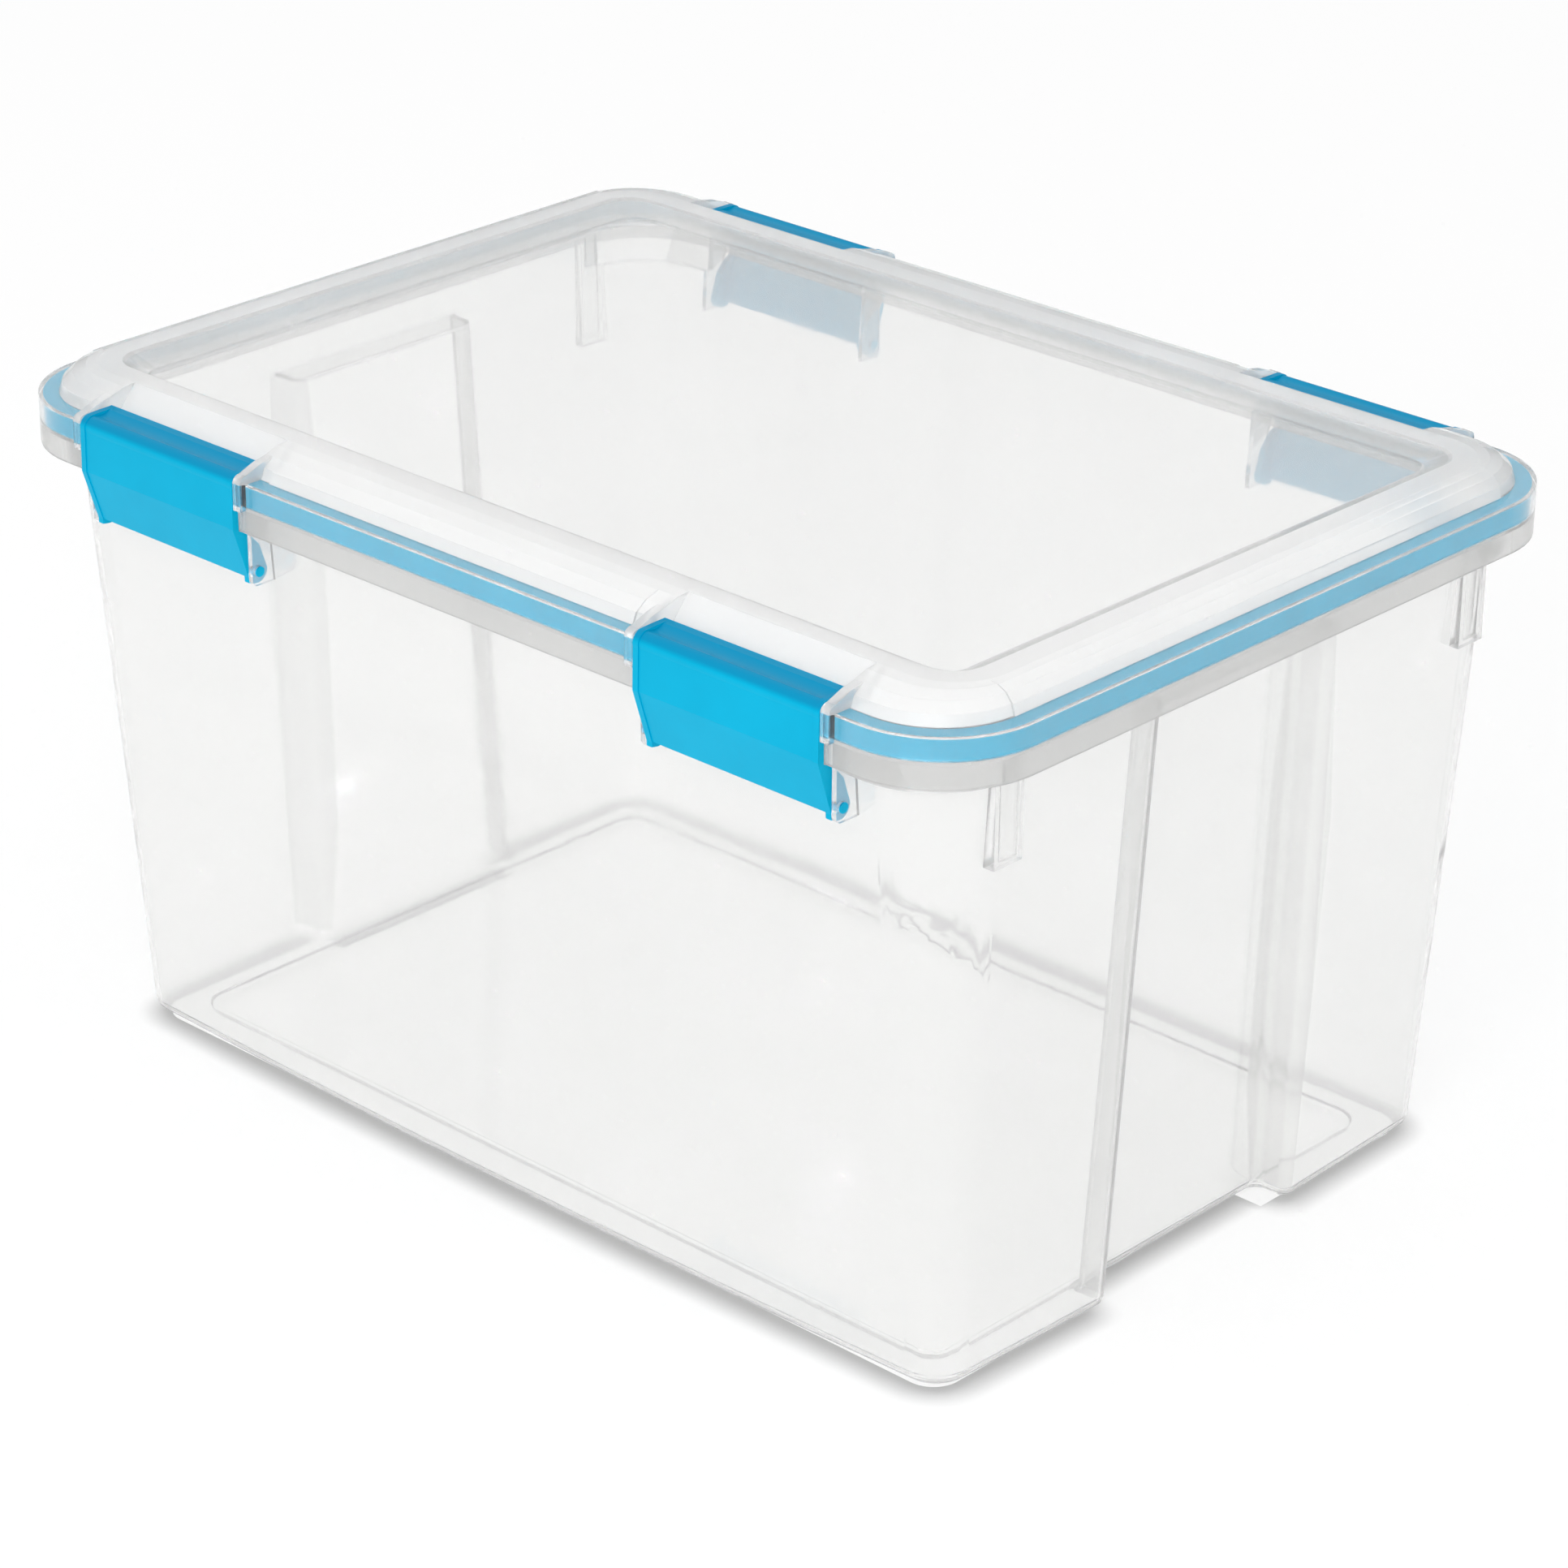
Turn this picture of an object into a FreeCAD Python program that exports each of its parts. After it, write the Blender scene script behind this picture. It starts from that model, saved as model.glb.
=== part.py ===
"""A clear latching storage box: tub, gasketed lid and four side latches.

Millimetres, +Z up.  X runs along the box, Y across it.  The origin is the middle of the
underside of the tub.  Every driving dimension is a cell of the spreadsheet "Sizes".
"""
import FreeCAD, Part
import math
import os
import re
import Sketcher
from types import SimpleNamespace

SHEET = "Sizes"

# Driving dimensions: alias, value in millimetres.
DIMENSIONS = (
    # Tub walls.  They taper outwards from the floor and bow slightly along the long sides.
    ("floor_length", 514.2),
    ("floor_width", 336.0),
    ("floor_corner", 18.0),
    ("wall_top_length", 546.2),
    ("wall_top_width", 386.9),
    ("wall_top_corner", 37.0),
    ("side_bow_floor", 4.2),
    ("side_bow_top", 0.4),
    ("end_bow_floor", 2.8),
    ("tub_height", 310.0),
    ("wall", 2.2),
    ("floor_round", 6.0),
    # Foot under the middle of the floor, which drops into the panel of a lid below.
    ("foot_length", 472.0),
    ("foot_width", 294.0),
    ("foot_corner", 12.0),
    ("foot_drop", 3.0),
    ("foot_draft", 1.0),
    # Recessed middle of each end wall, from the floor up to a ledge under the rim.
    ("recess_floor_width", 124.0),
    ("recess_top_width", 109.0),
    ("recess_floor_depth", 17.0),
    ("recess_top_depth", 16.0),
    ("recess_top", 289.8),
    ("post_round", 4.5),
    ("recess_round", 4.0),
    # Turned-down rim of the tub.
    ("rim_length", 581.0),
    ("rim_width", 415.2),
    ("rim_corner", 49.0),
    ("rim_wall", 2.2),
    ("skirt_drop", 12.2),
    # Shoulder that stiffens each corner under the rim.
    ("shoulder_proud", 5.5),
    ("shoulder_drop", 19.2),
    # Nesting ribs on the end walls.
    ("rib_spacing", 308.0),
    ("rib_width", 17.0),
    ("rib_proud", 2.6),
    ("rib_drop", 58.0),
    ("rib_groove", 11.0),
    ("rib_groove_depth", 1.2),
    ("rib_groove_stop", 3.0),
    # Lid.
    ("seat_gap", 0.3),
    ("lid_wall", 2.0),
    ("lip_drop", 10.5),
    ("flange_thickness", 1.5),
    ("frame_foot_end", 9.9),
    ("frame_foot_side", 9.1),
    ("crest_height", 11.5),
    ("crest_end", 21.5),
    ("crest_side", 29.3),
    ("crest_width", 11.0),
    ("panel_drop", 6.0),
    ("panel_end", 45.2),
    ("panel_side", 48.2),
    ("panel_corner", 12.0),
    ("frame_bulge", 1.2),
    ("frame_bulge_end", 320.0),
    ("frame_bulge_side", 222.0),
    # Gasket in the groove under the lid's flange.
    ("gasket_width", 7.3),
    ("gasket_fit", 0.1),
    ("gasket_rib", 1.8),
    ("gasket_channel", 2.0),
    # Latches and their hinge pins.
    ("latch_spacing", 347.6),
    ("latch_width", 102.5),
    ("latch_wall", 2.2),
    ("latch_proud", 3.4),
    ("latch_foot", 6.0),
    ("latch_plate_start", 3.0),
    ("latch_cheek", 3.0),
    ("cheek_proud", 0.5),
    ("latch_taper", 8.0),
    ("latch_waist", 11.0),
    ("latch_lean", 0.4),
    ("latch_round", 5.0),
    ("bulge_lift", 1.2),
    ("groove_radius", 12.5),
    ("hook_reach", 16.0),
    ("hook_lift", 4.2),
    ("hook_gap", 0.3),
    ("hook_hollow", 0.78),
    ("hook_land", 4.8),
    ("hook_nose", 1.0),
    ("hook_tuck", 1.5),
    ("skirt_clear", 2.0),
    ("pin_inset", 7.8),
    ("pin_drop", 32.6),
    ("pin_radius", 2.4),
    ("pin_fit", 0.08),
    ("pin_end", 0.5),
    ("side_gap", 0.5),
    ("ear_thickness", 2.5),
    ("ear_margin", 4.0),
    # Fins on the lid that flank each latch.
    ("fin_thickness", 4.6),
    ("fin_proud", 3.5),
    ("fin_tail", 1.5),
    ("fin_round", 4.0),
    ("fin_lift", 7.2),
    ("pocket_gap", 3.5),
    # How far a cut runs past the surface it opens.
    ("overrun", 1.0),
)


class Size:
    """A length that carries its value together with the sheet expression behind it."""

    def __init__(self, value, text):
        self.value = value
        self.text = text

    def __add__(self, other):
        other = as_size(other)
        return Size(self.value + other.value, f"({self.text} + {other.text})")

    def __sub__(self, other):
        other = as_size(other)
        return Size(self.value - other.value, f"({self.text} - {other.text})")

    def __mul__(self, other):
        other = as_size(other)
        return Size(self.value * other.value, f"({self.text} * {other.text})")

    def __truediv__(self, other):
        other = as_size(other)
        return Size(self.value / other.value, f"({self.text} / {other.text})")

    def __rmul__(self, other):
        return as_size(other) * self

    def __neg__(self):
        return as_size(0.0) - self


def as_size(number):
    """Give a plain number the same form as a named size."""
    if isinstance(number, Size):
        return number
    return Size(float(number), repr(float(number)))


def blend(start, end, share):
    """Length a given share of the way from start to end."""
    return start + (end - start) * share


doc = FreeCAD.newDocument("LatchingBox")
sheet = doc.addObject("Spreadsheet::Sheet", SHEET)
for row, (alias, number) in enumerate(DIMENSIONS, start=1):
    sheet.set(f"A{row}", alias.replace("_", " "))
    sheet.set(f"B{row}", str(number))
    sheet.setAlias(f"B{row}", alias)
doc.recompute()
S = SimpleNamespace(**{alias: Size(number, f"{SHEET}.{alias}") for alias, number in DIMENSIONS})

# Heights and reaches that several pieces share.
RIM_TOP = S.tub_height
LIP_BOTTOM = RIM_TOP + S.seat_gap
FLANGE_TOP = LIP_BOTTOM + S.lip_drop
FLANGE_UNDER = FLANGE_TOP - S.flange_thickness
CREST_TOP = FLANGE_TOP + S.crest_height
PANEL_TOP = CREST_TOP - S.panel_drop
SKIRT_BOTTOM = RIM_TOP - S.skirt_drop
HALF_LENGTH = S.rim_length / 2
HALF_WIDTH = S.rim_width / 2
PIN_Y = HALF_WIDTH - S.pin_inset
PIN_Z = RIM_TOP - S.pin_drop
GROOVE_INSET = S.lid_wall + S.gasket_width + 2 * S.gasket_fit
POCKET_HALF = S.latch_width / 2 + S.side_gap
POCKET_FOOT = HALF_WIDTH - S.hook_reach - S.pocket_gap
POCKET_CREST = HALF_WIDTH - S.crest_side
CROWN_ANGLES = (0, 25, 50, 72, 90)
FOOT_ANGLES = (0, 30, 60, 90)
# Share of an inset that comes off the round of a post.
POST_SHARE = 0.35
# Toe and neck of a latch's cheek, as shares of the round about its pin.
TOE = (0.6, 0.9)
NECK = (0.33, 2.0)
# Keeps a corner that lies on a sketch axis from having a length of nought.
NUDGE = 0.001
LATCH_CENTRES = (-(S.latch_spacing / 2), S.latch_spacing / 2)
CORNERS = ((1, -1), (1, 1), (-1, 1), (-1, -1))


def new_body(label):
    """Start an empty body whose label names the sub-part."""
    body = doc.addObject("PartDesign::Body", label)
    body.Label = label
    return body


def new_sketch(body, name, plane, offset=None):
    """Attach a sketch to one of the body's own origin planes, lifted along its normal."""
    sketch = body.newObject("Sketcher::SketchObject", name)
    support = [item for item in body.Origin.OriginFeatures if item.Role == plane][0]
    sketch.AttachmentSupport = (support, "")
    sketch.MapMode = "FlatFace"
    if offset is not None:
        sketch.AttachmentOffset = FreeCAD.Placement(
            FreeCAD.Vector(0, 0, offset.value), FreeCAD.Rotation())
        sketch.setExpression("AttachmentOffset.Base.z", offset.text)
    return sketch


def arc_between(start, end, radius, turn):
    """Minor arc from start to end; turn +1 bends left on the way, -1 bends right."""
    chord = end - start
    middle = (start + end) * 0.5
    left = FreeCAD.Vector(-chord.y, chord.x, 0).normalize()
    rise = math.sqrt(max(radius ** 2 - (chord.Length / 2) ** 2, 0.0))
    centre = middle + left * (rise * turn)
    first, last = (start, end) if turn > 0 else (end, start)
    angles = [math.atan2(p.y - centre.y, p.x - centre.x) for p in (first, last)]
    if angles[1] < angles[0]:
        angles[1] += 2 * math.pi
    circle = Part.Circle(centre, FreeCAD.Vector(0, 0, 1), radius)
    return Part.ArcOfCircle(circle, angles[0], angles[1])


def draw(sketch, corners):
    """Add one closed outline.

    Each corner is (x, y) when a straight edge leaves it, or (x, y, radius, turn) when an
    arc leaves it.  Every coordinate and radius is tied to the sheet.
    """
    points = []
    for corner in corners:
        points.append(FreeCAD.Vector(as_size(corner[0]).value, as_size(corner[1]).value, 0))
    edges = []
    constraints = []
    formulas = []
    for index, corner in enumerate(corners):
        start = points[index]
        end = points[(index + 1) % len(points)]
        if len(corner) == 2:
            number = sketch.addGeometry(Part.LineSegment(start, end), False)
            edges.append((number, 1, 2))
            continue
        radius = as_size(corner[2])
        turn = corner[3]
        number = sketch.addGeometry(arc_between(start, end, radius.value, turn), False)
        edges.append((number, 1, 2) if turn > 0 else (number, 2, 1))
        constraints.append(Sketcher.Constraint("Radius", number, radius.value))
        formulas.append(radius.text)
    for index, corner in enumerate(corners):
        number, tail = edges[index][:2]
        for kind, length in zip(("DistanceX", "DistanceY"), corner[:2]):
            length = as_size(length)
            constraints.append(Sketcher.Constraint(kind, number, tail, length.value))
            formulas.append(length.text)
    joins = []
    for index, edge in enumerate(edges):
        following = edges[(index + 1) % len(edges)]
        joins.append(Sketcher.Constraint("Coincident", edge[0], edge[2], following[0],
                                         following[1]))
    sketch.addConstraint(joins)
    first = sketch.ConstraintCount
    sketch.addConstraint(constraints)
    for index, formula in enumerate(formulas):
        if re.search("[a-z]", formula):
            sketch.setExpression(f"Constraints[{first + index}]", formula)


def pad(body, name, sketch, length, reverse=False):
    """Extrude a sketch along its normal."""
    feature = body.newObject("PartDesign::Pad", name)
    feature.Profile = sketch
    feature.Length = length.value
    feature.setExpression("Length", length.text)
    feature.Reversed = reverse
    return feature


def pocket(body, name, sketch, length, reverse=False):
    """Cut a sketch out of the body, against its normal unless reversed."""
    feature = body.newObject("PartDesign::Pocket", name)
    feature.Profile = sketch
    feature.Length = length.value
    feature.setExpression("Length", length.text)
    feature.Reversed = reverse
    return feature


def loft(body, name, kind, sketches):
    """Ruled loft through the sketches, added to the body or taken from it."""
    feature = body.newObject(f"PartDesign::{kind}Loft", name)
    feature.Profile = sketches[0]
    feature.Sections = sketches[1:]
    feature.Ruled = True
    return feature


def rounded_rectangle(half_x, half_y, corner):
    """Counter-clockwise outline with straight sides and round corners."""
    return [
        (half_x - corner, -half_y, corner, 1),
        (half_x, -(half_y - corner)),
        (half_x, half_y - corner, corner, 1),
        (half_x - corner, half_y),
        (-(half_x - corner), half_y, corner, 1),
        (-half_x, half_y - corner),
        (-half_x, -(half_y - corner), corner, 1),
        (-(half_x - corner), -half_y),
    ]


# ---------------------------------------------------------------- tub

def wall_frame(height, inset):
    """Half length, half width and corner radius of the wall at a height."""
    share = height / S.tub_height
    half_x = blend(S.floor_length, S.wall_top_length, share) / 2 - inset
    half_y = blend(S.floor_width, S.wall_top_width, share) / 2 - inset
    corner = blend(S.floor_corner, S.wall_top_corner, share) - inset
    return half_x, half_y, corner


def side_sweep(height, half_chord):
    """Radius of a long side's bow at a height."""
    rise = blend(S.side_bow_floor, S.side_bow_top, height / S.tub_height)
    return (half_chord * half_chord + rise * rise) / (2 * rise)


def plain_wall_outline(height, inset):
    """Outline of the wall above the end recesses."""
    half_x, half_y, corner = wall_frame(height, inset)
    sweep = side_sweep(height, half_x - corner)
    return [
        (half_x - corner, -half_y, corner, 1),
        (half_x, -(half_y - corner)),
        (half_x, half_y - corner, corner, 1),
        (half_x - corner, half_y, sweep, 1),
        (-(half_x - corner), half_y, corner, 1),
        (-half_x, half_y - corner),
        (-half_x, -(half_y - corner), corner, 1),
        (-(half_x - corner), -half_y, sweep, 1),
    ]


def recessed_wall_outline(height, inset):
    """Outline of the wall where each end is stepped in between two posts."""
    half_x, half_y, corner = wall_frame(height, inset)
    share = height / S.tub_height
    post_x = half_x + blend(S.end_bow_floor, as_size(0.0), share)
    back_x = post_x - blend(S.recess_floor_depth, S.recess_top_depth, share)
    side_y = blend(S.recess_floor_width, S.recess_top_width, share) / 2 + inset
    post = S.post_round - inset * POST_SHARE
    hollow = S.recess_round + inset
    sweep = side_sweep(height, half_x - corner)
    right_end = [
        (half_x - corner, -half_y, corner, 1),
        (half_x, -(half_y - corner)),
        (post_x, -(side_y + post), post, 1),
        (post_x - post, -side_y),
        (back_x + hollow, -side_y, hollow, -1),
        (back_x, -(side_y - hollow)),
        (back_x, side_y - hollow, hollow, -1),
        (back_x + hollow, side_y),
        (post_x - post, side_y, post, 1),
        (post_x, side_y + post),
        (half_x, half_y - corner, corner, 1),
        (half_x - corner, half_y, sweep, 1),
    ]
    left_end = [(-point[0], -point[1], *point[2:]) for point in right_end]
    return right_end + left_end


def rounded_foot(body, name, start, radius, skin):
    """Sketches that carry a wall surface from its floor round into its side.

    The outer skin starts at the ground; the inner one starts on top of the floor.
    """
    sketches = []
    for step, angle in enumerate(FOOT_ANGLES):
        inset = skin + radius * (1 - math.sin(math.radians(angle)))
        height = start + radius * (1 - math.cos(math.radians(angle)))
        sketch = new_sketch(body, f"{name}{step}", "XY_Plane", height)
        draw(sketch, recessed_wall_outline(height, inset))
        sketches.append(sketch)
    return sketches


def wall_skin(body, name, kind, start, radius, skin, ledge, top):
    """Solid inside one skin of the wall: rounded foot, recessed part, plain part."""
    sections = rounded_foot(body, f"{name}Foot", start, radius, skin)
    shoulder = new_sketch(body, f"{name}Ledge", "XY_Plane", ledge)
    draw(shoulder, recessed_wall_outline(ledge, skin))
    loft(body, f"{name}Recessed", kind, sections + [shoulder])
    lower = new_sketch(body, f"{name}PlainLow", "XY_Plane", ledge)
    draw(lower, plain_wall_outline(ledge, skin))
    upper = new_sketch(body, f"{name}PlainTop", "XY_Plane", top)
    draw(upper, plain_wall_outline(top, skin))
    loft(body, f"{name}Plain", kind, [lower, upper])


def rim_ring(body, name, bottom, top, half_x, half_y, corner):
    """Flat ring from the inner outline given here out to the edge of the rim."""
    ring = new_sketch(body, f"{name}Sketch", "XY_Plane", bottom)
    draw(ring, rounded_rectangle(HALF_LENGTH, HALF_WIDTH, S.rim_corner))
    draw(ring, rounded_rectangle(half_x, half_y, corner))
    pad(body, name, ring, top - bottom)


def corner_shoulders(body):
    """Stepped band round each corner, hanging from the rim."""
    bottom = RIM_TOP - S.shoulder_drop
    half_x, half_y, corner = wall_frame(bottom, as_size(0.0))
    root = S.wall / 2
    start_x = S.latch_spacing / 2 + S.latch_width / 2 + S.side_gap
    start_y = S.rib_spacing / 2
    sketch = new_sketch(body, "ShoulderSketch", "XY_Plane", bottom)
    for sign_x, sign_y in CORNERS:
        turn = sign_x * -sign_y
        outline = (
            (start_x, half_y + S.shoulder_proud),
            (half_x - corner, half_y + S.shoulder_proud, corner + S.shoulder_proud, turn),
            (half_x + S.shoulder_proud, half_y - corner),
            (half_x + S.shoulder_proud, start_y),
            (half_x - root, start_y),
            (half_x - root, half_y - corner, corner - root, -turn),
            (half_x - corner, half_y - root),
            (start_x, half_y - root),
        )
        draw(sketch, [(sign_x * p[0], sign_y * p[1], *p[2:]) for p in outline])
    pad(body, "Shoulders", sketch, S.shoulder_drop - S.rim_wall / 2)


def nesting_ribs(body):
    """Grooved upright ribs on the end walls, one near each corner."""
    bottom = RIM_TOP - S.rib_drop
    half_x = wall_frame(bottom, S.wall / 2)[0]
    face_x = wall_frame(SKIRT_BOTTOM, -S.rib_proud)[0]
    ribs = new_sketch(body, "RibSketch", "XY_Plane", bottom)
    grooves = new_sketch(body, "RibGrooveSketch", "XY_Plane", bottom + S.rib_groove_stop)
    for sign_x, sign_y in CORNERS:
        near = S.rib_spacing / 2 - S.rib_width / 2
        far = S.rib_spacing / 2 + S.rib_width / 2
        outline = ((half_x, near), (face_x, near), (face_x, far), (half_x, far))
        draw(ribs, [(sign_x * x, sign_y * y) for x, y in outline])
        near = S.rib_spacing / 2 - S.rib_groove / 2
        far = S.rib_spacing / 2 + S.rib_groove / 2
        deep_x = face_x - S.rib_groove_depth
        open_x = face_x + S.overrun
        outline = ((deep_x, near), (open_x, near), (open_x, far), (deep_x, far))
        draw(grooves, [(sign_x * x, sign_y * y) for x, y in outline])
    pad(body, "Ribs", ribs, S.rib_drop - S.rim_wall / 2)
    run = RIM_TOP - S.rim_wall - bottom - S.rib_groove_stop
    pocket(body, "RibGrooves", grooves, run, reverse=True)


def hinge_ears(body):
    """Pairs of upright ears under the rim that carry the latch pins."""
    bottom = PIN_Z - S.pin_radius - S.ear_margin
    half_y_foot = wall_frame(bottom, S.wall / 2)[1]
    half_y_top = wall_frame(RIM_TOP - S.rim_wall / 2, S.wall / 2)[1]
    front = PIN_Y + S.ear_margin
    skirt = HALF_WIDTH - S.rim_wall / 2
    top = RIM_TOP - S.rim_wall / 2
    inner = S.latch_width / 2 + S.side_gap
    for tag, centre in zip(("Left", "Right"), LATCH_CENTRES):
        for edge, start in (("A", centre - inner - S.ear_thickness), ("B", centre + inner)):
            ears = new_sketch(body, f"Ear{tag}{edge}Sketch", "YZ_Plane", start)
            for sign in (1, -1):
                outline = (
                    (half_y_foot, bottom),
                    (front - S.ear_margin / 2, bottom),
                    (front, bottom + S.ear_margin / 2),
                    (front, SKIRT_BOTTOM - S.ear_margin / 2),
                    (skirt, SKIRT_BOTTOM + S.ear_margin / 2),
                    (skirt, top),
                    (half_y_top, top),
                )
                draw(ears, [(sign * y, z) for y, z in outline])
            pad(body, f"Ear{tag}{edge}", ears, S.ear_thickness)
            holes = new_sketch(body, f"EarHole{tag}{edge}Sketch", "YZ_Plane", start)
            for sign in (1, -1):
                draw_circle(holes, sign * PIN_Y, PIN_Z, S.pin_radius + S.pin_fit)
            pocket(body, f"EarHole{tag}{edge}", holes, S.ear_thickness, reverse=True)


def foot_block(body, name, kind, bottom, top, inset):
    """Tapered block under the floor, or the hollow inside it."""
    sections = []
    for tag, height in (("Low", bottom), ("High", top)):
        spread = blend(as_size(0.0), S.foot_draft, height / S.foot_drop) - inset
        sketch = new_sketch(body, f"{name}{tag}", "XY_Plane", height)
        draw(sketch, rounded_rectangle(S.foot_length / 2 + spread, S.foot_width / 2 + spread,
                                       S.foot_corner + spread))
        sections.append(sketch)
    loft(body, name, kind, sections)


def draw_circle(sketch, x, y, radius):
    """Add a circle tied to the sheet."""
    centre = FreeCAD.Vector(x.value, y.value, 0)
    circle = Part.Circle(centre, FreeCAD.Vector(0, 0, 1), radius.value)
    number = sketch.addGeometry(circle, False)
    for kind, length in (("DistanceX", x), ("DistanceY", y)):
        sketch.addConstraint(Sketcher.Constraint(kind, number, 3, length.value))
        sketch.setExpression(f"Constraints[{sketch.ConstraintCount - 1}]", length.text)
    sketch.addConstraint(Sketcher.Constraint("Radius", number, radius.value))
    sketch.setExpression(f"Constraints[{sketch.ConstraintCount - 1}]", radius.text)


def make_tub():
    """Clear tub with recessed ends, turned-down rim, ribs and hinge ears."""
    body = new_body("tub")
    wall_skin(body, "Outer", "Additive", S.foot_drop, S.floor_round, as_size(0.0),
              S.recess_top, RIM_TOP)
    rim_ring(body, "RimTop", RIM_TOP - S.rim_wall, RIM_TOP, *wall_frame(RIM_TOP, S.wall / 2))
    rim_ring(body, "RimSkirt", SKIRT_BOTTOM, RIM_TOP - S.rim_wall / 2,
             HALF_LENGTH - S.rim_wall, HALF_WIDTH - S.rim_wall, S.rim_corner - S.rim_wall)
    corner_shoulders(body)
    nesting_ribs(body)
    hinge_ears(body)
    foot_block(body, "Foot", "Additive", as_size(0.0), S.foot_drop + S.wall / 2, as_size(0.0))
    wall_skin(body, "Inner", "Subtractive", S.foot_drop + S.wall, S.floor_round - S.wall,
              S.wall, S.recess_top + S.wall, RIM_TOP)
    foot_block(body, "Sump", "Subtractive", S.wall, S.foot_drop + 1.5 * S.wall, S.wall)
    return body


# ---------------------------------------------------------------- lid

def lid_outline(inset_end, inset_side, corner):
    """Rounded outline set in from the edge of the lid's flange."""
    return rounded_rectangle(HALF_LENGTH - inset_end, HALF_WIDTH - inset_side, corner)


def crown(body, name, base, foot, crest, skin, corners):
    """Sketches of the frame's convex outer wall, from its foot up to its crest."""
    sketches = []
    for step, angle in enumerate(CROWN_ANGLES):
        along = 1 - math.cos(math.radians(angle))
        up = math.sin(math.radians(angle))
        height = base + S.crest_height * up
        inset_end = blend(foot[0], crest[0], along) + skin
        inset_side = blend(foot[1], crest[1], along) + skin
        corner = blend(corners[0], corners[1], along) - skin
        sketch = new_sketch(body, f"{name}{step}", "XY_Plane", height)
        draw(sketch, lid_outline(inset_end, inset_side, corner))
        sketches.append(sketch)
    return sketches


def make_lid():
    """Clear lid: flange with a lip, raised frame round a lower stacking panel."""
    body = new_body("lid")
    flange = new_sketch(body, "FlangeSketch", "XY_Plane", LIP_BOTTOM)
    draw(flange, lid_outline(0, 0, S.rim_corner))
    pad(body, "Flange", flange, S.lip_drop)

    foot = (S.frame_foot_end, S.frame_foot_side)
    crest = (S.crest_end, S.crest_side)
    corners = (S.rim_corner - S.frame_foot_end, S.rim_corner - S.crest_end)
    outer = crown(body, "FrameOuter", FLANGE_TOP, foot, crest, as_size(0.0), corners)
    loft(body, "Frame", "Additive", outer)
    frame_bulges(body)
    latch_pockets(body)

    rib_inset = GROOVE_INSET + S.gasket_rib
    hollow = new_sketch(body, "HollowSketch", "XY_Plane", LIP_BOTTOM)
    draw(hollow, lid_outline(rib_inset, rib_inset, S.rim_corner - rib_inset))
    pocket(body, "Hollow", hollow, S.lip_drop - S.lid_wall, reverse=True)
    inner_base = FLANGE_TOP - S.lid_wall
    inner = crown(body, "FrameInner", inner_base, foot, crest, S.lid_wall, corners)
    loft(body, "FrameHollow", "Subtractive", inner)

    panel_basin(body)
    gasket_groove(body)
    pocket_liners(body)
    latch_fins(body)
    return body


def frame_bulges(body):
    """Straight stretches of the frame that stand slightly proud of its corners."""
    for tag, plane, half, foot, crest, length in (
            ("End", "XZ_Plane", HALF_LENGTH, S.frame_foot_end, S.crest_end, S.frame_bulge_end),
            ("Side", "YZ_Plane", HALF_WIDTH, S.frame_foot_side, S.crest_side,
             S.frame_bulge_side)):
        profile = []
        for angle in CROWN_ANGLES:
            along = 1 - math.cos(math.radians(angle))
            reach = half - blend(foot, crest, along) + S.frame_bulge * (1 - along)
            profile.append((reach, FLANGE_TOP + S.crest_height * math.sin(math.radians(angle))))
        root = half - crest
        profile.append((root, FLANGE_UNDER))
        profile.append((profile[0][0], FLANGE_UNDER))
        sketch = new_sketch(body, f"{tag}BulgeSketch", plane, -(length / 2))
        for sign in (1, -1):
            draw(sketch, [(sign * reach, height) for reach, height in profile])
        pad(body, f"{tag}Bulge", sketch, length)


def latch_pockets(body):
    """Cut the frame's outer wall back where each latch hooks over the flange."""
    slope = (POCKET_FOOT - POCKET_CREST) / S.crest_height
    profile = (
        (POCKET_FOOT, FLANGE_TOP),
        (HALF_WIDTH + S.overrun, FLANGE_TOP),
        (HALF_WIDTH + S.overrun, CREST_TOP + S.overrun),
        (POCKET_CREST - slope * S.overrun, CREST_TOP + S.overrun),
    )
    for tag, centre in zip(("Left", "Right"), LATCH_CENTRES):
        sketch = new_sketch(body, f"Pocket{tag}Sketch", "YZ_Plane", centre - POCKET_HALF)
        for sign in (1, -1):
            draw(sketch, [(sign * y, z) for y, z in profile])
        pocket(body, f"Pocket{tag}", sketch, 2 * POCKET_HALF, reverse=True)


def pocket_liners(body):
    """Sloping wall and floor that close the frame again behind each latch."""
    profile = (
        (POCKET_FOOT, FLANGE_TOP),
        (POCKET_CREST, CREST_TOP),
        (POCKET_CREST - 2 * S.lid_wall, CREST_TOP),
        (POCKET_FOOT - 2 * S.lid_wall, FLANGE_UNDER),
        (HALF_WIDTH - GROOVE_INSET - S.gasket_rib / 2, FLANGE_UNDER),
        (HALF_WIDTH - GROOVE_INSET - S.gasket_rib / 2, FLANGE_TOP),
    )
    lap = S.fin_thickness / 2
    for tag, centre in zip(("Left", "Right"), LATCH_CENTRES):
        start = centre - POCKET_HALF - lap
        sketch = new_sketch(body, f"Liner{tag}Sketch", "YZ_Plane", start)
        for sign in (1, -1):
            draw(sketch, [(sign * y, z) for y, z in profile])
        pad(body, f"Liner{tag}", sketch, 2 * (POCKET_HALF + lap))


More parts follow.
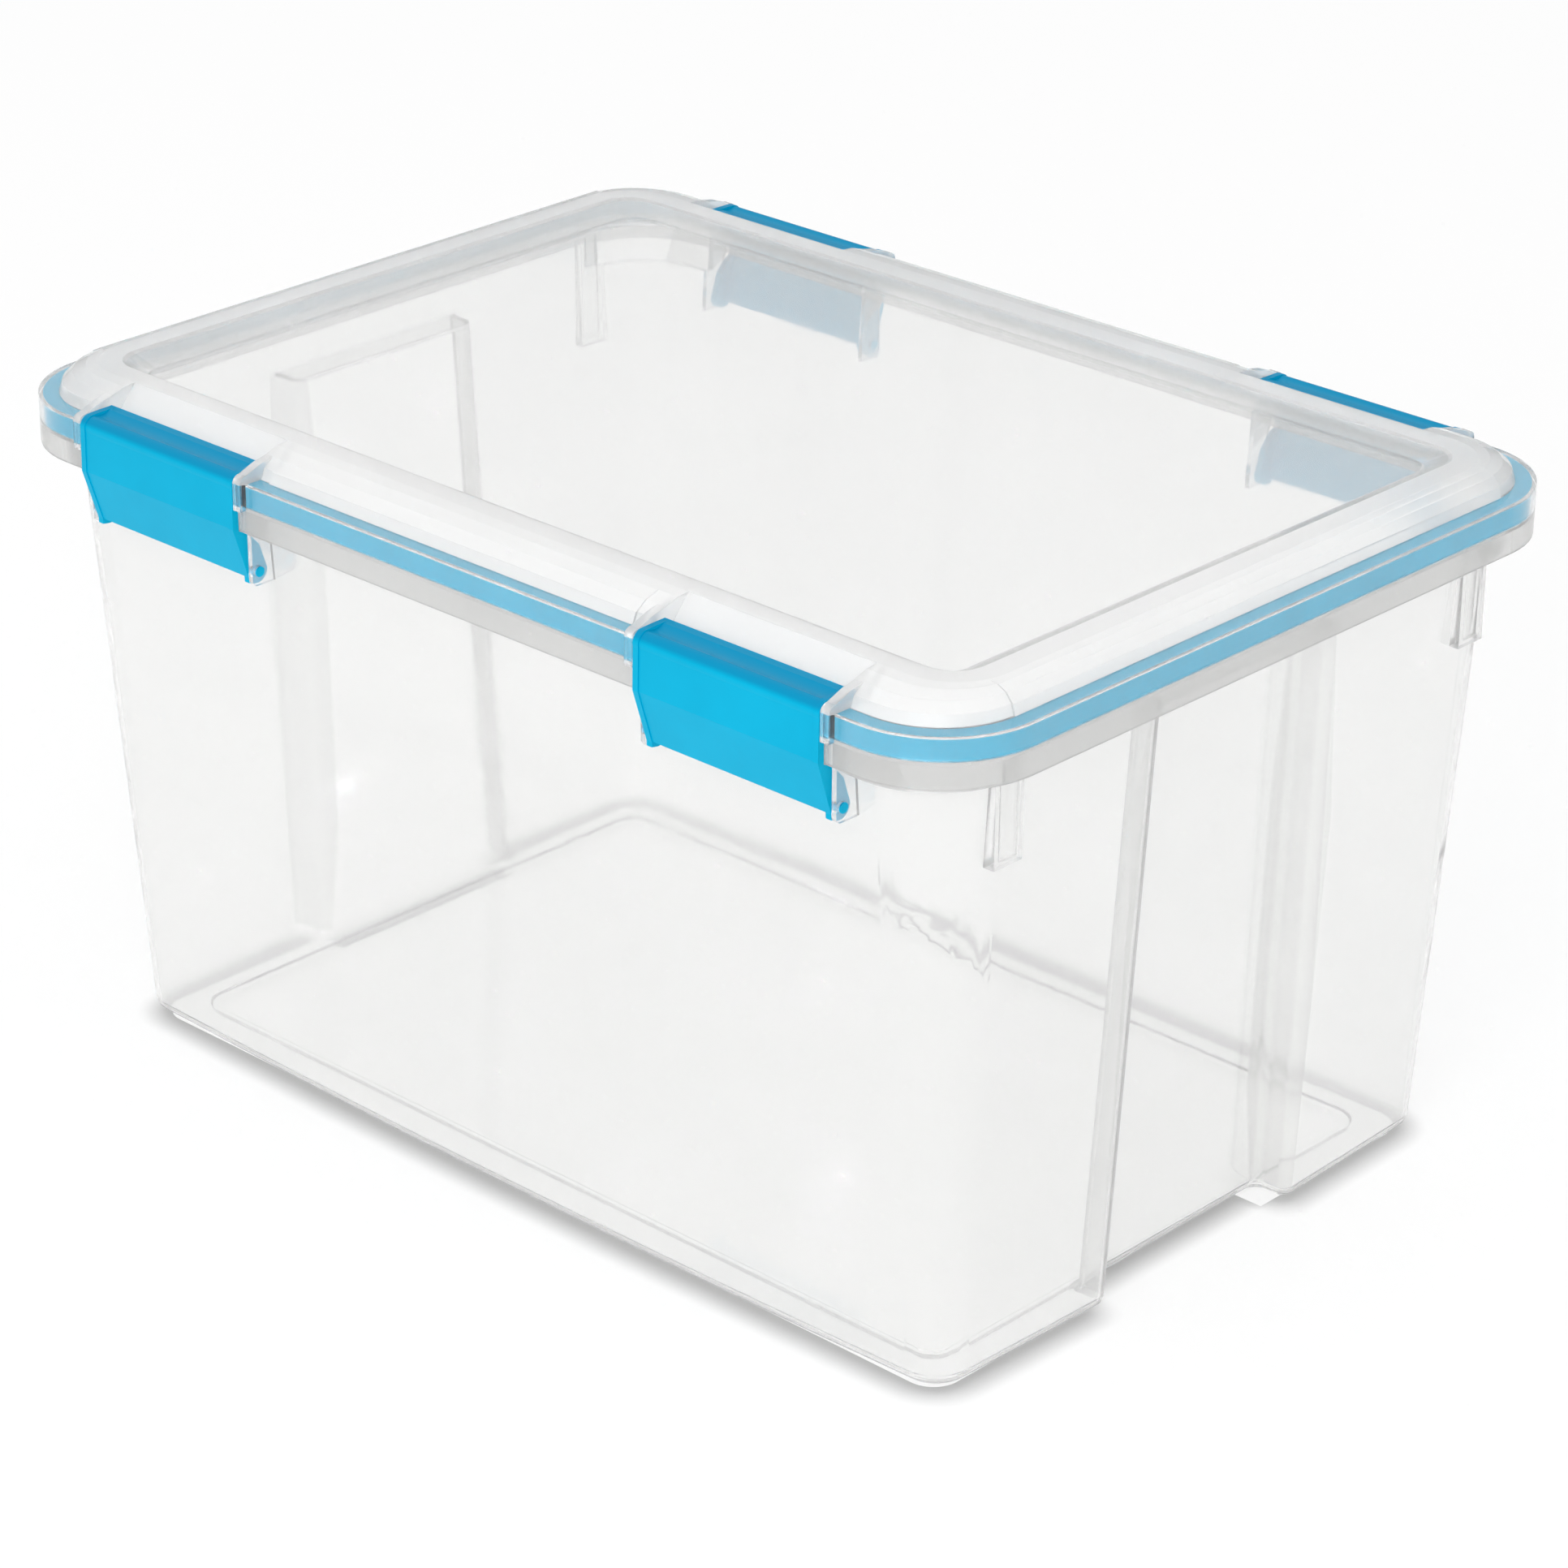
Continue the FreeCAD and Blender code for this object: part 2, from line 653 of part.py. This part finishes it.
def latch_fins(body):
    """Thin curved plates over the flange at both ends of each pocket."""
    edge = HALF_WIDTH + S.fin_proud
    under = FLANGE_TOP - S.flange_thickness / 2
    profile = (
        (POCKET_CREST - S.lid_wall, CREST_TOP),
        (POCKET_FOOT - S.lid_wall, under),
        (HALF_WIDTH - S.lid_wall / 2, under),
        (HALF_WIDTH - S.lid_wall / 2, LIP_BOTTOM),
        (HALF_WIDTH + S.seat_gap, LIP_BOTTOM),
        (HALF_WIDTH + S.seat_gap, LIP_BOTTOM - S.fin_tail),
        (edge, LIP_BOTTOM - S.fin_tail),
        (edge, FLANGE_TOP, S.fin_round, 1),
        (edge - S.fin_round, FLANGE_TOP + S.fin_round),
        (HALF_WIDTH - S.frame_foot_side, FLANGE_TOP + S.fin_lift),
        (POCKET_CREST, CREST_TOP),
    )
    for tag, centre in zip(("Left", "Right"), LATCH_CENTRES):
        starts = (centre - POCKET_HALF - S.fin_thickness, centre + POCKET_HALF)
        for edge_tag, start in zip("AB", starts):
            sketch = new_sketch(body, f"Fin{tag}{edge_tag}Sketch", "YZ_Plane", start)
            draw(sketch, profile)
            draw(sketch, [(-p[0], p[1], *flip(p[2:])) for p in profile])
            pad(body, f"Fin{tag}{edge_tag}", sketch, S.fin_thickness)


def flip(bend):
    """The same arc seen in a mirror."""
    return (bend[0], -bend[1]) if bend else ()


def panel_basin(body):
    """Lower the middle of the lid into a flat stacking panel with sloping sides."""
    inner_end = S.crest_end + S.crest_width
    inner_side = S.crest_side + S.crest_width
    corner = S.rim_corner - inner_end
    wall = S.lid_wall
    block_top = new_sketch(body, "BasinTop", "XY_Plane", CREST_TOP)
    draw(block_top, lid_outline(inner_end - wall, inner_side - wall, corner + wall))
    block_floor = new_sketch(body, "BasinFloor", "XY_Plane", PANEL_TOP - wall)
    draw(block_floor, lid_outline(S.panel_end - wall, S.panel_side - wall, S.panel_corner + wall))
    loft(body, "Basin", "Additive", [block_top, block_floor])
    recess_top = new_sketch(body, "PanelTop", "XY_Plane", CREST_TOP)
    draw(recess_top, lid_outline(inner_end, inner_side, corner))
    recess_floor = new_sketch(body, "PanelFloor", "XY_Plane", PANEL_TOP)
    draw(recess_floor, lid_outline(S.panel_end, S.panel_side, S.panel_corner))
    loft(body, "Panel", "Subtractive", [recess_top, recess_floor])


def gasket_groove(body):
    """Groove under the flange, between the lip and a retaining rib."""
    ring = new_sketch(body, "GrooveSketch", "XY_Plane", LIP_BOTTOM)
    draw(ring, lid_outline(S.lid_wall, S.lid_wall, S.rim_corner - S.lid_wall))
    draw(ring, lid_outline(GROOVE_INSET, GROOVE_INSET, S.rim_corner - GROOVE_INSET))
    pocket(body, "Groove", ring, FLANGE_UNDER - LIP_BOTTOM, reverse=True)


# ---------------------------------------------------------------- gasket

def make_gasket():
    """Blue sealing ring that fills the lid's groove and bears on the tub's rim."""
    body = new_body("gasket")
    bottom = RIM_TOP + S.gasket_fit
    outer = S.lid_wall + S.gasket_fit
    inner = outer + S.gasket_width
    ring = new_sketch(body, "RingSketch", "XY_Plane", bottom)
    draw(ring, lid_outline(outer, outer, S.rim_corner - outer))
    draw(ring, lid_outline(inner, inner, S.rim_corner - inner))
    pad(body, "Ring", ring, FLANGE_UNDER - bottom)
    channel = new_sketch(body, "ChannelSketch", "XY_Plane", bottom)
    near = outer + S.gasket_width / 3
    far = inner - S.gasket_width / 3
    draw(channel, lid_outline(near, near, S.rim_corner - near))
    draw(channel, lid_outline(far, far, S.rim_corner - far))
    pocket(body, "Channel", channel, S.gasket_channel, reverse=True)
    return body


# ---------------------------------------------------------------- latches

def latch_plate_profile():
    """Cross-section of the latch plate and hook, measured from the hinge pin.

    The hook's underside is an arc about the pin, so it swings clear of the lid's edge.
    """
    edge = S.pin_inset
    gap = S.hook_gap
    proud = edge + S.latch_proud
    flange = FLANGE_TOP - PIN_Z
    lip = LIP_BOTTOM - PIN_Z
    tip = edge - S.hook_reach
    top = flange + S.hook_lift
    foot = -S.latch_plate_start
    bulge = proud - S.latch_round
    return (
        (proud - S.latch_taper, foot),
        (proud, lip - S.latch_waist),
        (proud - S.latch_lean, flange - S.latch_round / 2, S.latch_round, 1),
        (bulge, flange + S.latch_round / 2 + S.bulge_lift, S.groove_radius, -1),
        (edge - S.hook_reach + S.hook_land, top),
        (tip + S.hook_nose, top + S.hook_nose / 3),
        (tip, top - S.hook_nose),
        (tip, flange + gap, flange + gap + S.hook_hollow, -1),
        (edge + S.side_gap, flange + gap),
        (edge + S.side_gap, flange - S.hook_tuck),
        (proud - S.latch_lean - S.latch_wall, flange - S.latch_round),
        (proud - S.latch_wall, lip - S.latch_waist),
        (proud - S.latch_taper - S.latch_wall, foot),
    )


def latch_cheek_profile():
    """Outline of the end cheeks, which reach in to the pin and close the groove's ends."""
    edge = S.pin_inset
    gap = S.hook_gap
    proud = edge + S.latch_proud + S.cheek_proud
    flange = FLANGE_TOP - PIN_Z
    lip = LIP_BOTTOM - PIN_Z
    skirt = SKIRT_BOTTOM - PIN_Z
    tip = edge - S.hook_reach
    top = flange + S.hook_lift + S.cheek_proud / 2
    foot = S.latch_foot
    round_top = S.latch_round + S.cheek_proud
    return (
        (-foot, NUDGE, foot, 1),
        (NUDGE, -foot),
        (foot * TOE[0], -(foot * TOE[1])),
        (proud - S.latch_taper, -S.latch_plate_start),
        (proud, lip - S.latch_waist),
        (proud - S.latch_lean, flange - S.latch_round / 2, round_top, 1),
        (proud - S.cheek_proud - S.latch_round, flange + S.latch_round / 2 + S.bulge_lift
         + S.cheek_proud),
        (tip + S.hook_land, top),
        (tip + S.hook_nose, top),
        (tip, top - S.hook_nose),
        (tip, flange + gap, flange + gap + S.hook_hollow, -1),
        (edge + S.side_gap, flange + gap),
        (edge + S.side_gap, skirt),
        (edge / 2, skirt - S.skirt_clear),
        (-(foot * NECK[0]), foot * NECK[1]),
    )


def make_latch(label, centre, side):
    """One latch: plate with hook, two cheeks and two hinge pins, all in one moulding."""
    body = new_body(label)
    half = S.latch_width / 2
    plate = new_sketch(body, "PlateSketch", "YZ_Plane", -half)
    draw(plate, latch_plate_profile())
    pad(body, "Plate", plate, S.latch_width)
    for tag, start in (("A", -half), ("B", half - S.latch_cheek)):
        cheek = new_sketch(body, f"Cheek{tag}Sketch", "YZ_Plane", start)
        draw(cheek, latch_cheek_profile())
        pad(body, f"Cheek{tag}", cheek, S.latch_cheek)
    root = S.latch_cheek / 2
    reach = S.side_gap + S.ear_thickness + S.pin_end
    for tag, start in (("A", -(half + reach)), ("B", half - root)):
        pin = new_sketch(body, f"Pin{tag}Sketch", "YZ_Plane", start)
        number = pin.addGeometry(
            Part.Circle(FreeCAD.Vector(), FreeCAD.Vector(0, 0, 1), S.pin_radius.value), False)
        pin.addConstraint(Sketcher.Constraint("Coincident", number, 3, -1, 1))
        pin.addConstraint(Sketcher.Constraint("Radius", number, S.pin_radius.value))
        pin.setExpression("Constraints[1]", S.pin_radius.text)
        pad(body, f"Pin{tag}", pin, reach + root)
    turn = 0 if side > 0 else 180
    body.Placement = FreeCAD.Placement(
        FreeCAD.Vector(centre.value, side * PIN_Y.value, PIN_Z.value),
        FreeCAD.Rotation(FreeCAD.Vector(0, 0, 1), turn))
    for axis, length in (("x", centre), ("y", side * PIN_Y), ("z", PIN_Z)):
        body.setExpression(f"Placement.Base.{axis}", length.text)
    return body


def make_latches():
    """Two latches on each long side; the front is the -Y side."""
    latches = []
    for row, side in (("front", -1), ("back", 1)):
        for tag, centre in zip(("left", "right"), LATCH_CENTRES):
            latches.append(make_latch(f"latch_{row}_{tag}", centre, side))
    return latches


def finish(bodies):
    """Recompute, refuse anything broken, and write one STEP file for each sub-part."""
    doc.recompute()
    for item in doc.Objects:
        if "Invalid" in item.State or "Error" in item.State:
            raise RuntimeError(f"{item.Name} failed: {item.State}")
    os.makedirs("parts", exist_ok=True)
    for body in bodies:
        if body.Shape.isNull() or not body.Shape.isValid():
            raise RuntimeError(f"{body.Label} has no valid shape")
    for body in bodies:
        body.Shape.exportStep(f"parts/{body.Label}.step")
        print(body.Label, len(body.Shape.Solids), round(body.Shape.Volume), body.Shape.BoundBox)


finish([make_tub(), make_lid(), make_gasket()] + make_latches())
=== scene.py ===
"""Visual model of a deep clear storage box with a blue gasket and four side latches."""
import math

import bpy
from mathutils import Matrix, Vector


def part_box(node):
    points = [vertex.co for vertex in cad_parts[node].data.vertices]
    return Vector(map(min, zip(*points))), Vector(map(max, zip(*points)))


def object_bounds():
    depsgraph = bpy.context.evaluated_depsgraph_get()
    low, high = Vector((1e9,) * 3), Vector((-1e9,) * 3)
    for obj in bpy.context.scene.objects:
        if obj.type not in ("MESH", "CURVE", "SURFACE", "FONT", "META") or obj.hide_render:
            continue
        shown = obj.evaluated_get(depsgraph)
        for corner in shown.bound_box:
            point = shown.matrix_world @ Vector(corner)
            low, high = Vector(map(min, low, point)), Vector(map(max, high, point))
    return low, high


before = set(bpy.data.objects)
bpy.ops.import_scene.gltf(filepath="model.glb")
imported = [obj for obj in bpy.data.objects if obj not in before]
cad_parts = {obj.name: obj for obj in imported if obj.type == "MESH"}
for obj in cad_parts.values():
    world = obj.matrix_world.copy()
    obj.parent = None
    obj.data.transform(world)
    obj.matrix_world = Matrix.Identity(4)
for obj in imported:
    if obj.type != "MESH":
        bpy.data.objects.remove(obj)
CAD_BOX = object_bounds()

# Far corners of the tub, which its rim sets, and of the gasket ring.
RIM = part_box("tub")[1]
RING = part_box("gasket")[1]
LATCHES = ("latch_front_left", "latch_front_right", "latch_back_left", "latch_back_right")

# Outlines seen from above, centred on the origin: half length, half width, corner radius.
RIM_OUTLINE = (RIM.x, RIM.y, 0.049)
RING_OUTLINE = (RING.x, RING.y, 0.047)
CREST_INSIDE = (RIM.x - 0.0325, RIM.y - 0.0403, 0.020)
PANEL_OUTLINE = (RIM.x - 0.0452, RIM.y - 0.0482, 0.012)
FOOT_OUTLINE = (0.2375, 0.1485, 0.014)

RIM_BAND = 0.012
SKIRT_FOOT = RIM.z - 0.0145
LID_EDGE_BAND = 0.0073
LID_EDGE_TOP = 0.3212
BASE_TOP = 0.0095
STEP_MARGIN = 0.0005

# The grip recess in each end wall, and the nesting ribs beside it.
RECESS_SIDES = (0.05, 0.066)
RECESS_HEIGHTS = (0.02, 0.29)
END_WALL_START = 0.2
RIB_SIDES = (0.144, 0.164)
RIB_FOOT = 0.235
END_WALL_FACE = 0.2578
END_WALL_SLOPE = 0.0516

# What the tub stands on: its base, less the recess in each end, and how far the painted contact shadow
# reaches beside it.
BASE_HALF_LENGTH = 0.2505
BASE_HALF_WIDTH = 0.1625
BASE_CORNER = 0.014
RECESS_BACK = 0.2345
RECESS_HALF_WIDTH = 0.057
PAINTED_SHADOW_REACH = 0.0125

# Clear finishes: darkest tint, lightest tint, smoothest, roughest, and the share let through. The greyer
# tints of the rim, recess and step zones are painted shade, standing in for the grey these clear parts show
# where light crosses several layers or meets them edge-on.
CLEAR_FINISHES = {
    "tub_wall": ((0.985, 0.985, 0.982), (0.995, 0.995, 0.992), 0.03, 0.06, 0.85),
    "tub_rim": ((0.74, 0.74, 0.733), (0.78, 0.78, 0.773), 0.12, 0.2, 0.72),
    "tub_base": ((0.985, 0.985, 0.983), (0.995, 0.995, 0.992), 0.1, 0.16, 0.84),
    "tub_recess": ((0.9, 0.9, 0.895), (0.925, 0.925, 0.92), 0.1, 0.16, 0.78),
    "lid_frame": ((0.985, 0.985, 0.983), (0.993, 0.993, 0.991), 0.2, 0.26, 0.66),
    "lid_edge": ((0.965, 0.965, 0.965), (0.98, 0.98, 0.98), 0.06, 0.1, 0.94),
    "lid_panel": ((0.985, 0.985, 0.983), (0.995, 0.995, 0.993), 0.02, 0.05, 0.86),
    "lid_step": ((0.94, 0.94, 0.937), (0.96, 0.96, 0.957), 0.14, 0.2, 0.74),
}

GASKET_AIR = 0.00003
FLOOR_HALF = 12.0
FLOOR_LEVEL = -0.0005


# ---------------------------------------------------------------- node helpers

class Nodes:
    """A material's node tree with short calls for the nodes used here."""

    def __init__(self, name):
        self.material = bpy.data.materials.new(name)
        self.material.use_nodes = True
        self.tree = self.material.node_tree
        self.shader = self.tree.nodes["Principled BSDF"]
        place = self.add("ShaderNodeTexCoord")
        self.place = place.outputs["Object"]
        self.facing = place.outputs["Normal"]

    def add(self, kind, **values):
        node = self.tree.nodes.new(kind)
        for key, value in values.items():
            setattr(node, key, value)
        return node

    def link(self, source, target):
        self.tree.links.new(source, target)

    def stretched(self, scale):
        node = self.add("ShaderNodeMapping")
        node.inputs["Scale"].default_value = scale
        self.link(self.place, node.inputs["Vector"])
        return node.outputs["Vector"]

    def noise(self, scale, detail, roughness, vector=None):
        node = self.add("ShaderNodeTexNoise")
        node.inputs["Scale"].default_value = scale
        node.inputs["Detail"].default_value = detail
        node.inputs["Roughness"].default_value = roughness
        self.link(vector or self.place, node.inputs["Vector"])
        return node.outputs["Fac"]

    def ramp(self, fac, low, high, start, end):
        """A colour between low and high, or a grey where they are plain numbers."""
        node = self.add("ShaderNodeValToRGB")
        for element, place, shade in zip(node.color_ramp.elements, (start, end), (low, high)):
            element.position = place
            element.color = (*shade, 1) if isinstance(shade, tuple) else (shade, shade, shade, 1)
        self.link(fac, node.inputs["Fac"])
        return node.outputs["Color"]

    def maths(self, operation, first, second=0.0):
        node = self.add("ShaderNodeMath", operation=operation)
        for socket, value in zip(node.inputs, (first, second)):
            if isinstance(value, (int, float)):
                socket.default_value = value
            else:
                self.link(value, socket)
        return node.outputs["Value"]

    def bump(self, height, distance, strength):
        node = self.add("ShaderNodeBump")
        node.inputs["Strength"].default_value = strength
        node.inputs["Distance"].default_value = distance
        self.link(height, node.inputs["Height"])
        return node.outputs["Normal"]

    def set(self, **values):
        for key, value in values.items():
            self.shader.inputs[key.replace("_", " ")].default_value = value

    def drive(self, name, source):
        self.link(source, self.shader.inputs[name])


def finish_node(name, material, shrink=0.0):
    """Gives a carried-over CAD node its material, and a hair of air where it lies face to face."""
    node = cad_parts[name]
    node.data.materials.clear()
    node.data.materials.append(material)
    if shrink:
        skin = node.modifiers.new("air_gap", "DISPLACE")
        skin.mid_level = 0.0
        skin.strength = -shrink


def inset(point, half_x, half_y, corner):
    """How far a point lies inside a rounded rectangle centred on the origin, seen from above."""
    past_end = abs(point.x) - half_x + corner
    past_side = abs(point.y) - half_y + corner
    outside = math.hypot(max(past_end, 0.0), max(past_side, 0.0))
    return corner - outside - min(max(past_end, past_side), 0.0)


def between(value, limits):
    low, high = limits
    return low < value < high


def finish_zones(name, zones, zone_of):
    """Gives a clear CAD node one finish for each zone, chosen from where each of its faces lies."""
    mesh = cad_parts[name].data
    mesh.materials.clear()
    for zone in zones:
        mesh.materials.append(clear_plastic(zone, *CLEAR_FINISHES[zone]))
    for face in mesh.polygons:
        face.material_index = zones.index(zone_of(face.center))


def lid_zone(point):
    """The zone of the lid that a point lies in, from the edge over the gasket to the flat panel."""
    if inset(point, *RING_OUTLINE) < LID_EDGE_BAND and point.z < LID_EDGE_TOP:
        return "lid_edge"
    if inset(point, *PANEL_OUTLINE) > -STEP_MARGIN:
        return "lid_panel"
    return "lid_step" if inset(point, *CREST_INSIDE) > -STEP_MARGIN else "lid_frame"


def tub_zone(point):
    """The zone of the tub that a point lies in: rim and skirt, base ring, recess and ribs, or wall."""
    if point.z > SKIRT_FOOT and inset(point, *RIM_OUTLINE) < RIM_BAND:
        return "tub_rim"
    if point.z < BASE_TOP and inset(point, *FOOT_OUTLINE) < 0.0:
        return "tub_base"
    on_end = abs(point.x) > END_WALL_START
    if on_end and between(point.z, RECESS_HEIGHTS) and between(abs(point.y), RECESS_SIDES):
        return "tub_recess"
    proud = abs(point.x) > END_WALL_FACE + END_WALL_SLOPE * point.z
    if proud and point.z > RIB_FOOT and between(abs(point.y), RIB_SIDES):
        return "tub_recess"
    return "tub_wall"


# ------------------------------------------------------------------- materials

def clear_plastic(name, tint_low, tint_high, smooth, satin, clarity):
    """Clarified polypropylene: clear, a little milky, with faint flow ripples from the mould."""
    n = Nodes(name)
    flow = n.noise(scale=9.0, detail=3.0, roughness=0.55, vector=n.stretched((1.0, 1.0, 2.2)))
    haze = n.noise(scale=45.0, detail=3.0, roughness=0.6)
    n.drive("Base Color", n.ramp(flow, tint_low, tint_high, start=0.25, end=0.75))
    n.drive("Roughness", n.ramp(haze, smooth, satin, start=0.3, end=0.7))
    n.drive("Normal", n.bump(flow, distance=0.0006, strength=0.25))
    n.set(IOR=1.45, Transmission_Weight=clarity)
    return n.material


def latch_plastic():
    """Turquoise plastic with a fine moulded grain, a little uneven, with painted shade darkening the
    surfaces that face up.
    """
    n = Nodes("latch_turquoise")
    cloud = n.noise(scale=26.0, detail=3.0, roughness=0.6)
    grain = n.noise(scale=2600.0, detail=2.0, roughness=0.6)
    face = n.ramp(cloud, (0.0, 0.385, 0.615), (0.0, 0.425, 0.67), start=0.25, end=0.75)
    # Painted shade: the colour turns deeper blue where the surface normal points up, as on the top of the
    # hook, standing in for the darker light there.
    split = n.add("ShaderNodeSeparateXYZ")
    n.link(n.facing, split.inputs["Vector"])
    shade = n.add("ShaderNodeMix", data_type="RGBA")
    n.link(n.ramp(split.outputs["Z"], 0.0, 1.0, start=0.25, end=0.62), shade.inputs["Factor"])
    n.link(face, shade.inputs["A"])
    shade.inputs["B"].default_value = (0.0, 0.27, 0.49, 1)
    n.drive("Base Color", shade.outputs["Result"])
    n.drive("Roughness", n.ramp(grain, 0.28, 0.38, start=0.3, end=0.7))
    n.drive("Normal", n.bump(grain, distance=0.00003, strength=0.35))
    n.set(IOR=1.45, Specular_IOR_Level=0.08)
    return n.material


def gasket_rubber():
    """Soft blue sealing rubber, matt and finely pitted."""
    n = Nodes("gasket_blue")
    cloud = n.noise(scale=60.0, detail=2.0, roughness=0.5)
    pores = n.noise(scale=3200.0, detail=3.0, roughness=0.65)
    n.drive("Base Color", n.ramp(cloud, (0.0, 0.41, 0.62), (0.0, 0.46, 0.69), start=0.25, end=0.75))
    n.drive("Roughness", n.ramp(pores, 0.5, 0.68, start=0.3, end=0.7))
    n.drive("Normal", n.bump(pores, distance=0.00004, strength=0.5))
    n.set(IOR=1.45, Specular_IOR_Level=0.2)
    return n.material


# ----------------------------------------------------------------------- stage

def make_floor():
    """A plain white floor, far wider than the view, with a painted contact shadow right beside the base."""
    mesh = bpy.data.meshes.new("floor")
    half = FLOOR_HALF
    corners = [(x, y, FLOOR_LEVEL) for x, y in ((-half, -half), (half, -half), (half, half), (-half, half))]
    mesh.from_pydata(corners, [], [(0, 1, 2, 3)])
    floor = bpy.data.objects.new("floor", mesh)
    bpy.context.scene.collection.objects.link(floor)
    n = Nodes("floor_white")
    split = n.add("ShaderNodeSeparateXYZ")
    n.link(n.place, split.inputs["Vector"])
    along = n.maths("ABSOLUTE", split.outputs["X"])
    across = n.maths("ABSOLUTE", split.outputs["Y"])
    past_end = n.maths("MAXIMUM", n.maths("SUBTRACT", along, BASE_HALF_LENGTH - BASE_CORNER))
    past_side = n.maths("MAXIMUM", n.maths("SUBTRACT", across, BASE_HALF_WIDTH - BASE_CORNER))
    past = n.maths("SQRT", n.maths("ADD", n.maths("MULTIPLY", past_end, past_end),
                                   n.maths("MULTIPLY", past_side, past_side)))
    recess = n.maths("MINIMUM", n.maths("SUBTRACT", along, RECESS_BACK),
                     n.maths("SUBTRACT", RECESS_HALF_WIDTH, across))
    outside = n.maths("SUBTRACT", past, BASE_CORNER)
    # Straight under the base the floor stays white, because it shows through the clear plastic; the painted
    # contact shadow is kept off there.
    under = n.maths("LESS_THAN", n.maths("MAXIMUM", outside, recess))
    # Painted shadow: ambient occlusion darkens the floor's colour and glow within a short reach of the tub,
    # a contact shadow painted on.
    painted_contact_shadow = n.add("ShaderNodeAmbientOcclusion", samples=6)
    painted_contact_shadow.inputs["Distance"].default_value = PAINTED_SHADOW_REACH
    light = n.maths("MAXIMUM", painted_contact_shadow.outputs["AO"], under)
    n.drive("Base Color", n.ramp(light, 0.3, 0.54, start=0.3, end=0.95))
    n.drive("Emission Color", n.ramp(light, 0.45, 1.0, start=0.3, end=0.95))
    n.set(Roughness=0.9, Specular_IOR_Level=0.0, Emission_Strength=0.45)
    mesh.materials.append(n.material)


def make_softbox(name, place, aim, size, power):
    """A large soft light aimed at a point, which shines on things but isn't mirrored in them."""
    light = bpy.data.lights.new(name, "AREA")
    light.shape = "RECTANGLE"
    light.size, light.size_y = size
    light.energy = power
    lamp = bpy.data.objects.new(name, light)
    lamp.visible_glossy = False
    lamp.matrix_world = Matrix.LocRotScale(
        Vector(place), (Vector(aim) - Vector(place)).to_track_quat("-Z", "Y"), None)
    bpy.context.scene.collection.objects.link(lamp)


def make_world(strength):
    """White studio tent, dimmer towards the horizon."""
    world = bpy.data.worlds.new("studio")
    bpy.context.scene.world = world
    world.use_nodes = True
    tree = world.node_tree
    background = tree.nodes["Background"]
    background.inputs["Strength"].default_value = strength
    place = tree.nodes.new("ShaderNodeTexCoord").outputs["Generated"]
    split = tree.nodes.new("ShaderNodeSeparateXYZ")
    ramp = tree.nodes.new("ShaderNodeValToRGB")
    low, high = ramp.color_ramp.elements
    low.position, low.color = 0.1, (0.25, 0.25, 0.25, 1)
    high.position, high.color = 0.6, (1, 1, 1, 1)
    middle = ramp.color_ramp.elements.new(0.35)
    middle.color = (0.85, 0.85, 0.85, 1)
    tree.links.new(place, split.inputs["Vector"])
    tree.links.new(split.outputs["Z"], ramp.inputs["Fac"])
    tree.links.new(ramp.outputs["Color"], background.inputs["Color"])


def make_camera():
    """Three-quarter view from the front right and above, through a long lens."""
    azimuth, elevation, roll = math.radians(43.172), math.radians(25.029), math.radians(-0.388)
    distance = 2.2788
    centre = (CAD_BOX[0] + CAD_BOX[1]) / 2
    aim = Vector((centre.x + 0.0090, centre.y - 0.0005, 0.1497))
    back = Vector((math.sin(azimuth) * math.cos(elevation),
                   -math.cos(azimuth) * math.cos(elevation), math.sin(elevation)))
    lens = bpy.data.cameras.new("camera")
    lens.sensor_width = 36.0
    lens.lens = 113.98
    camera = bpy.data.objects.new("camera", lens)
    turn = (-back).to_track_quat("-Z", "Y").to_matrix() @ Matrix.Rotation(-roll, 3, "Z")
    camera.matrix_world = Matrix.Translation(aim + back * distance) @ turn.to_4x4()
    bpy.context.scene.collection.objects.link(camera)
    bpy.context.scene.camera = camera


def set_look():
    """Plain colour response, and enough bounces for light to cross many clear walls."""
    scene = bpy.context.scene
    scene.view_settings.view_transform = "Standard"
    scene.view_settings.look = "None"
    scene.cycles.use_denoising = True
    scene.cycles.max_bounces = 32
    scene.cycles.transmission_bounces = 32
    scene.cycles.glossy_bounces = 12
    scene.cycles.diffuse_bounces = 4
    scene.cycles.transparent_max_bounces = 32
    scene.cycles.sample_clamp_indirect = 0.0
    scene.cycles.blur_glossy = 0.0


finish_zones("tub", ("tub_wall", "tub_rim", "tub_base", "tub_recess"), tub_zone)
finish_zones("lid", ("lid_frame", "lid_edge", "lid_panel", "lid_step"), lid_zone)
finish_node("gasket", gasket_rubber(), GASKET_AIR)
for latch in LATCHES:
    finish_node(latch, latch_plastic())

make_floor()
make_world(strength=1.025)
make_softbox("front", place=(1.3, -2.2, 1.1), aim=(0, 0, 0.2), size=(2.0, 1.6), power=26.0)
make_camera()
set_look()
